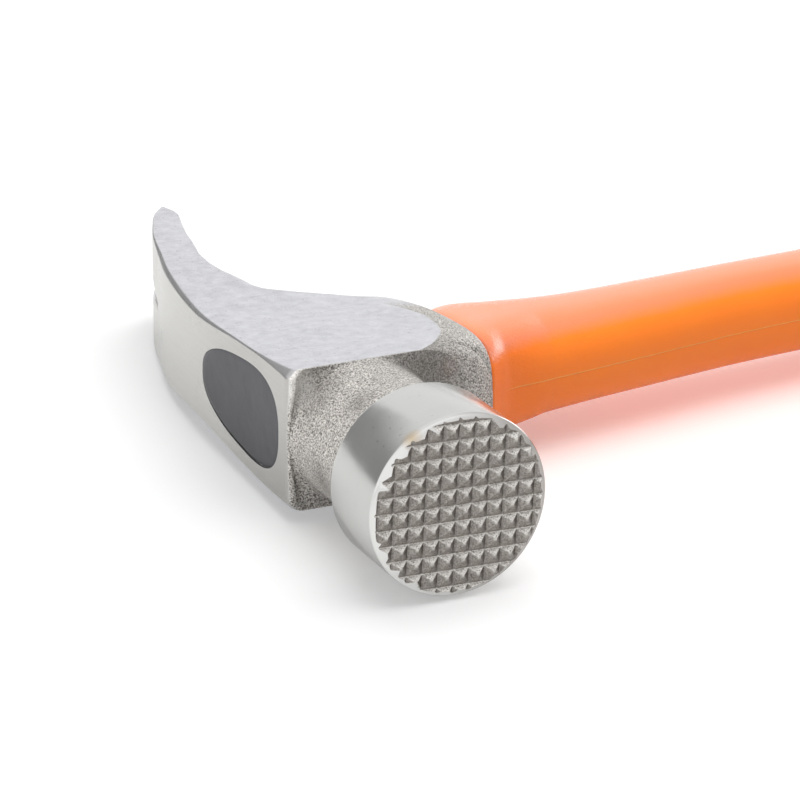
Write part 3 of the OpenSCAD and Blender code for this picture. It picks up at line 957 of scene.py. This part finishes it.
def polished_colour(steel, cloud):
    """Lines of the polishing belt, painted shade by the wall's lower corner, painted reflection on
    the claw.
    """
    line = steel.noise(1.0, 3, 0.6, (1, 0.06, 4.0), shift=2)
    y, z = steel.axis("Y"), steel.axis("Z")
    bright = (line * 0.8 + cloud * 0.4 - 0.1).clamped()
    # Painted shade towards the wall's lower corner, then a painted reflection towards the claw.
    by_corner = (1 - z.above(-2, 18)) * (1 - y.above(60, 34))
    return steel.coated(polish_dull, (polish_bright, bright), (polish_shaded, by_corner * 0.5),
                        (polish_painted_bright, y.above(92, 50) * 0.35))


def forged_steel():
    """One material with the head's three finishes, kept apart by the values on its points."""
    steel = Finish("forged_steel")
    ground = ground_area(steel)
    above_bevel = steel.value_of("above_bevel")
    outer = steel.value_of("inside_bevel").above(0.0, 0.2) * above_bevel.above(0.05, 0.3)
    brow = above_bevel.above(0.0, 0.2) * (1 - outer)
    grain = steel.noise(3.1, 3, 0.6)
    coarse = steel.noise(0.9, shift=7)
    cloud = steel.noise(0.12, 3, shift=3)
    scratch = steel.noise(1.0, 4, 0.7, (0.6, 3.0, 1), (0, 0, 0.5), 5)
    cross = steel.noise(1.0, 4, 0.7, (5.0, 0.3, 1), (0, 0, 0.3), 11)
    pits = steel.noise(1.9, shift=21).above(0.69, 0.04)
    colour = steel.coated(blasted_colour(steel, grain),
                          (cheek_colour(steel, scratch, cloud, pits), ground),
                          (bevel_grey, brow * ground * 0.7),
                          (polished_colour(steel, cloud), outer * ground))
    smooth = ground_rough + scratch.swing(0.16) + cloud.swing(0.12)
    pores = grain.swing(0.15) + coarse.swing(0.12)
    brush = scratch.swing(0.006) + cross.swing(0.004) - pits * 0.05
    return steel.surface(colour, between(blasted_rough, smooth, ground),
                         steel.bump(between(pores, brush, ground)),
                         Metallic=between(blasted_metal, 1.0, ground))


# %% [markdown]
# ## Steel of the poll
# The turned side is polished bright. The milled face was cut and then blasted, so it is duller
# and browner, with bare metal on the worn points.

# %% Turned steel
side_dull, side_bright = (0.56, 0.56, 0.55), (0.68, 0.68, 0.67)
milled_dark, milled_pale = (0.12, 0.109, 0.10), (0.44, 0.409, 0.38)
# The pale upper sides and bright ridges are painted highlight, the dark groove bottoms painted
# shade.
pale_painted_glint, groove_painted_shade = (0.97, 0.94, 0.90), (0.10, 0.09, 0.082)
ridge_painted_highlight, flat_bright = (0.8, 0.78, 0.75), (0.56, 0.54, 0.51)
# A painted highlight on the poll's lip, and painted shade on it towards the handle.
rim_painted_highlight, rim_painted_shade = (0.93, 0.925, 0.915), (0.34, 0.32, 0.30)
pit_dark, tan = (0.18, 0.17, 0.16), (0.62, 0.48, 0.30)
tan_stain = ((-10.0, 0.9, 15.1), 1.4, 2.4, 0.9)
side_rough, face_rough = 0.19, 0.3


def milled_colour(steel, grain, face):
    """Blasted points: painted highlight on upper sides and ridges, painted shade in grooves, bare
    worn flats.
    """
    y = steel.axis("Y")
    glint = steel.noise(3.6, 2, 0.6, shift=31)
    # Painted glints on the upper sides and along the ridges, and painted shade at the bottom of the
    # grooves.
    highlight_share = (steel.value_of("up_side") * (glint * 4.0 - 1.15)).clamped()
    ridge_glint = (steel.value_of("ridge") * (glint * 3.0 - 0.9)).clamped()
    return steel.coated(milled_dark, (milled_pale, (grain * 2.4 - 0.65).clamped()),
                        (pale_painted_glint, highlight_share), (groove_painted_shade, y.above(1.0, 0.4) * 0.5),
                        (ridge_painted_highlight, ridge_glint * 0.75),
                        (flat_bright, (1 - y.above(0.16, 0.25)) * face * 0.4))


def side_colour(steel, rings, cloud):
    """The polished side, with a few pits. The lip at its front has a painted highlight, with
    painted shade towards the handle, and it has one tan stain."""
    # The lip's pale colour is a painted highlight, and its darker part towards the handle painted
    # shade.
    lip = 1 - steel.axis("Y").above(1.7, 0.5)
    lip_painted_shade = lip * steel.axis("X").above(4, 12)
    pits = steel.noise(1.5, shift=41).above(0.73, 0.04)
    bright = (rings * 0.5 + cloud * 0.5).clamped()
    return steel.coated(side_dull, (side_bright, bright), (pit_dark, pits * 0.6),
                        (rim_painted_highlight, lip * 0.6), (rim_painted_shade, lip_painted_shade * 0.85),
                        (tan, steel.spots(tan_stain)))


def turned_steel():
    """Polished side with faint turning rings, and a dull milled face."""
    steel = Finish("turned_steel")
    face = steel.value_of("face_depth").above(0.07, 0.06)
    rings = steel.noise(1.0, 3, 0.6, (0.08, 5.0, 0.08), shift=4)
    cloud = steel.noise(0.16, 3, shift=9)
    grain = steel.noise(3.2, 3, 0.6, shift=13)
    colour = steel.mix(side_colour(steel, rings, cloud), milled_colour(steel, grain, face), face)
    rough = between(side_rough + cloud.swing(0.14), face_rough, face)
    height = between(rings.swing(0.002), grain.swing(0.035), face)
    return steel.surface(colour, rough, steel.bump(height), Metallic=1.0)


# %% [markdown]
# ## Resin, plastic, rubber and fibreglass
# These are not metals. The resin is dark with fine specks and a soft swell. The jacket is glossy,
# with a slight orange peel, a pale parting line along each side and a band on top with a painted
# pale reflection and a second sheen. The rubber is matt.

# %% Other finishes
resin_black, resin_grey = (0.018, 0.018, 0.023), (0.036, 0.036, 0.042)
# The first colour on the next line is painted shade towards the resin's lower end.
resin_painted_shade, speck_black = (0.006, 0.006, 0.008), (0.008, 0.008, 0.008)
orange_deep, orange_light = (0.96, 0.195, 0.004), (0.98, 0.23, 0.008)
orange_collar, orange_seam = (0.96, 0.15, 0.006), (1.0, 0.38, 0.07)
# The pale colour of the top band is a painted reflection.
orange_painted_sheen = (0.74, 0.17, 0.06)
rubber_black, rubber_grey = (0.022, 0.022, 0.024), (0.04, 0.04, 0.042)
rod_tan, rod_cream = (0.62, 0.55, 0.36), (0.80, 0.74, 0.55)


def dark_resin():
    """Satin black with painted shade towards its lower end, specks and an uneven surface."""
    resin = Finish("dark_resin")
    cloud = resin.noise(0.2, 3)
    speck = resin.noise(2.4, 1, shift=5).above(0.74, 0.02)
    # Painted shade, darker towards the lower end.
    low = 1 - resin.axis("Z").above(-3, 12)
    colour = resin.coated(resin_black, (resin_grey, cloud), (resin_painted_shade, low * 0.5),
                          (speck_black, speck))
    swell = resin.noise(0.07, 2, turn=(0.7, 0, 0), shift=12)
    height = resin.noise(0.35, 3, shift=8).swing(0.05) + swell.swing(0.3) - speck * 0.06
    return resin.surface(colour, 0.3 + cloud * 0.15, resin.bump(height), Specular_IOR_Level=0.42)


def orange_plastic():
    """Glossy orange, pebbled at the collar, with the parting line and a top band of painted sheen
    and coat.
    """
    plastic = Finish("orange_plastic")
    x, z = plastic.axis("X"), plastic.axis("Z")
    peel = plastic.noise(0.9)
    cloud = plastic.noise(0.07, shift=4)
    waver = plastic.noise(0.25, shift=6).swing(0.25)
    seam = (1 - (z + waver).unsigned().above(0.13, 0.12)) * x.above(36, 3)
    # The band on top: its paler colour is a painted reflection, its coat a real second sheen.
    highlight_share = (z + waver * 3.0).above(7.9, 1.9)
    pebble = plastic.noise(2.2, shift=15) * (1 - x.above(60, 60))
    colour = plastic.coated(orange_deep, (orange_light, cloud),
                            (orange_collar, (1 - x.above(44, 24)) * 0.4),
                            (orange_seam, seam * 0.8), (orange_painted_sheen, highlight_share * 0.8))
    height = peel.swing(0.025) + seam * 0.12 + pebble * 0.15
    return plastic.surface(colour, 0.2 + peel.swing(0.08), plastic.bump(height),
                           Specular_IOR_Level=0.4, Coat_Weight=highlight_share * 0.6,
                           Coat_Roughness=0.25, Coat_IOR=1.75)


def black_rubber():
    """Matt rubber with a fine grain."""
    rubber = Finish("black_rubber")
    grain = rubber.noise(3.0, 3, 0.6)
    colour = rubber.mix(rubber_black, rubber_grey, grain)
    return rubber.surface(colour, 0.6 + grain * 0.2, rubber.bump(grain.swing(0.04)))


def fibreglass():
    """Raw rod with strands along its length."""
    rod = Finish("fibreglass")
    strand = rod.noise(1.0, 3, 0.6, (0.02, 3.0, 3.0))
    return rod.surface(rod.mix(rod_tan, rod_cream, strand), 0.45, rod.bump(strand.swing(0.05)))


# %% [markdown]
# ## Every piece takes its place
# Nothing on a hammer moves, so all pieces ride on the one body. Each new piece stands for the
# node of the model that it refines. The rod inside stays the model's own. A cut leaves an empty
# material slot on a mesh, so the slots are cleared before the finish is given.

# %% Finish, ride and replace
pieces = [(forging, "head", "forged_steel", forged_steel()),
          (poll, "head", "forged_steel", turned_steel()),
          (resin, "eye_resin", "bonding_resin", dark_resin()),
          (jacket, "handle_jacket", "orange_plastic", orange_plastic()),
          (grip, "grip_sleeve", "black_rubber", black_rubber())]
body = next(iter(frame["bodies"]))
for piece, node, finish_name, material in pieces:
    piece.data.materials.clear()
    piece.data.materials.append(material)
    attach(piece, body)
    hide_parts(node)
frame["nodes"]["handle_core"].material_slots[0].material = fibreglass()
print("pieces", [piece.name for piece, *_ in pieces])

# %% [markdown]
# ## The floor
# A hammer on its side rests on the poll's back rim, on the lower claw and on the grip. These
# three places give the floor's plane, which is tilted a little to the hammer's own axes. The
# paper glows faintly, and more for the camera and the metal, so that it is white and still holds
# the hammer's shadow. Beside the handle the glow is a painted pink light, which stands in for
# light that comes through the plastic.

# %% Floor
claw_rest, grip_rest = [4.0, head_len, -12.45], [375.0, 66.5, -13.95]
rest_points = np.array([[0, poll_len, -poll_r], claw_rest, grip_rest])
floor_up = np.cross(rest_points[1] - rest_points[0], rest_points[2] - rest_points[0])
floor_up = floor_up / np.linalg.norm(floor_up) * np.sign(floor_up[2])
floor_half, floor_gap = 4500.0, 0.1
paper_white, paper_in_metal = (0.80, 0.80, 0.80), (0.80, 0.80, 0.79)
own_glow, glow_for_camera, glow_for_metal = 0.07, 0.21, 0.1
# A painted pink light on the floor beside the shaft, in place of light through the plastic.
pink = (1.6, 0.95, 0.9)


def stage_sheet(name, corners, material):
    """Flat sheet of the stage over four corners. It is no part of the hammer."""
    mesh = bpy.data.meshes.new(name)
    mesh.from_pydata(corners, [], [[0, 1, 2, 3]])
    mesh.materials.append(material)
    sheet = bpy.data.objects.new(name, mesh)
    bpy.context.scene.collection.objects.link(sheet)
    return sheet


def white_paper():
    """Matt paper with a faint glow, and a painted pink light beside the shaft."""
    paper = Finish("white_paper")
    to_camera, to_metal = paper.ray("Camera"), paper.ray("Glossy")
    matt = paper.node("ShaderNodeBsdfDiffuse", {}, {
        "Color": paper.mix(paper_white, paper_in_metal, to_metal)})
    along, aside = paper.axis("X"), (paper.axis("Y") - eye_y).unsigned()
    # Where the painted pink light lies beside the shaft.
    by_shaft = (1 - aside.above(30, 50)) * along.above(45, 50) * (1 - along.above(262, 40))
    glow = paper.node("ShaderNodeEmission", {}, {
        "Color": paper.mix((1, 1, 1), pink, by_shaft),
        "Strength": own_glow + to_camera * glow_for_camera + to_metal * glow_for_metal})
    return paper.closed(paper.node("ShaderNodeAddShader", {}, {0: matt, 1: glow}))


side = np.cross([0, 1, 0], floor_up)
side = floor_half * side / np.linalg.norm(side)
other = np.cross(floor_up, side)
centre = rest_points[0] - floor_up * floor_gap
stage_sheet("floor", np.array([centre - side - other, centre + side - other,
                               centre + side + other, centre - side + other]) * MM, white_paper())
print("floor tilt", round(math.degrees(math.acos(floor_up[2])), 1), "degrees")

# %% [markdown]
# ## The light
# Plain studio light: a white sky and three soft lamps. The camera sees the sky at full white, the
# hammer gets less than half of it, and metal mirrors it a little darker overhead. The broad top
# lamp models the forms. The left lamp is low, so light linking keeps it off the floor, where it
# would draw a second shadow. Neither shows in the metal, where it would be a hard bright patch,
# but the weak lamp at the right does, and gives the poll its soft highlight.

# %% Sky
sky_on_hammer, sky_overhead = 0.42, 0.85
world = bpy.data.worlds.new("studio")
bpy.context.scene.world = world
world.use_nodes = True
sky = Tree(world.node_tree)
background = sky.nodes["Background"]
background.inputs["Color"].default_value = (1, 1, 1, 1)
way = sky.node("ShaderNodeTexCoord", output="Generated")
height = sky.node("ShaderNodeSeparateXYZ", {}, {0: way}, output="Z")
mirrored = sky.ray("Glossy").at_least(sky.ray("Transmission"))
sky_in_metal = between(1.0, sky_overhead, height.above(0.64, 0.16))
unseen = between(sky_on_hammer, sky_in_metal, mirrored)
sky.links.new(between(unseen, 1.0, sky.ray("Camera")).socket, background.inputs["Strength"])

# %% Lamps
lit_middle = Vector((0.03, 0.07, 0.0))


def softbox(name, step, width, height, watts, in_metal=False):
    """Rectangular lamp at a step in metres from the middle of the head, turned to face it. Metal
    mirrors it only if in_metal says so."""
    data = bpy.data.lights.new(name, "AREA")
    data.shape = "RECTANGLE"
    data.size, data.size_y = width, height
    data.energy = watts
    lamp = bpy.data.objects.new(name, data)
    lamp.location = lit_middle + Vector(step)
    lamp.rotation_mode = "QUATERNION"
    lamp.rotation_quaternion = (-Vector(step)).to_track_quat("-Z", "Y")
    lamp.visible_camera = False
    lamp.visible_glossy = in_metal
    bpy.context.scene.collection.objects.link(lamp)
    return lamp


softbox("top_box", (0.12, -0.05, 0.88), 1.0, 1.0, 6.8)
left_box = softbox("left_box", (-0.85, 0.0, 0.55), 0.7, 0.5, 15.0)
softbox("right_box", (0.8, 0.35, 0.27), 0.7, 0.4, 2.2, in_metal=True)
lit_from_left = bpy.data.collections.new("lit_from_left")
for piece, *_ in pieces:
    lit_from_left.objects.link(piece)
left_box.light_linking.receiver_collection = lit_from_left

# %% [markdown]
# ### A grey wall for the reflections
# Bright metal shows what stands round it. A grey wall behind the claw, lighter towards its top,
# gives the poll its dark band and a clear line where the floor begins. Only reflections see it.

# %% Grey wall
wall_stops = [(0.0, (0.31, 0.31, 0.305)), (0.45, (0.36, 0.36, 0.36)),
              (1.0, (1, 1, 1))]
wall_left, wall_right, wall_height = (-1.0, 0.1), (0.02, 1.0), 0.62


def grey_cloth():
    """Glowing cloth that goes from dark grey at the floor to white at its top."""
    cloth = Finish("grey_cloth")
    up = cloth.axis("Z") * MM / wall_height
    light = cloth.node("ShaderNodeValToRGB", {"stops": wall_stops}, {"Fac": up})
    return cloth.closed(cloth.node("ShaderNodeEmission", {}, {"Color": light, "Strength": 1.0}))


wall_foot = rest_points[0][2] * MM
wall_top = wall_foot + wall_height
wall_corners = [(*wall_left, wall_foot), (*wall_right, wall_foot),
                (*wall_right, wall_top), (*wall_left, wall_top)]
grey_wall = stage_sheet("grey_wall", wall_corners, grey_cloth())
grey_wall.visible_camera = False
grey_wall.visible_diffuse = False
grey_wall.visible_shadow = False
grey_wall.visible_transmission = False

# %% [markdown]
# ## The camera
# The photograph was taken with a long lens. The camera's direction, distance and lens were
# worked out from the round poll, the square grid of points and the head's symmetry.

# %% Camera
azimuth, elevation, roll = np.radians([-25.946, 21.103, 0.51]).tolist()
camera_distance = 731.19
camera_aside, camera_up = -11.289, 19.377
camera_step_y = 0.5
lens_pixels, image_pixels = 4000, 800
film_width = 36
back = Vector((math.sin(azimuth) * math.cos(elevation),
               -math.cos(azimuth) * math.cos(elevation), math.sin(elevation)))
right = Vector((math.cos(azimuth), math.sin(azimuth), 0))
up = back.cross(right)
rolled_right = math.cos(roll) * right + math.sin(roll) * up
rolled_up = math.cos(roll) * up - math.sin(roll) * right
camera_data = bpy.data.cameras.new("camera")
camera_data.sensor_width = film_width
camera_data.lens = lens_pixels / image_pixels * film_width
camera = bpy.data.objects.new("camera", camera_data)
bpy.context.scene.collection.objects.link(camera)
turn = Matrix((rolled_right, rolled_up, back)).transposed().to_4x4()
target = Vector((0, camera_step_y, 0)) + camera_aside * right + camera_up * up
camera.matrix_world = Matrix.Translation((target + camera_distance * back) * MM) @ turn
bpy.context.scene.camera = camera
bpy.context.scene.view_settings.view_transform = "Standard"
print("lens", round(camera_data.lens, 1), "mm, distance", round(camera_distance), "mm")
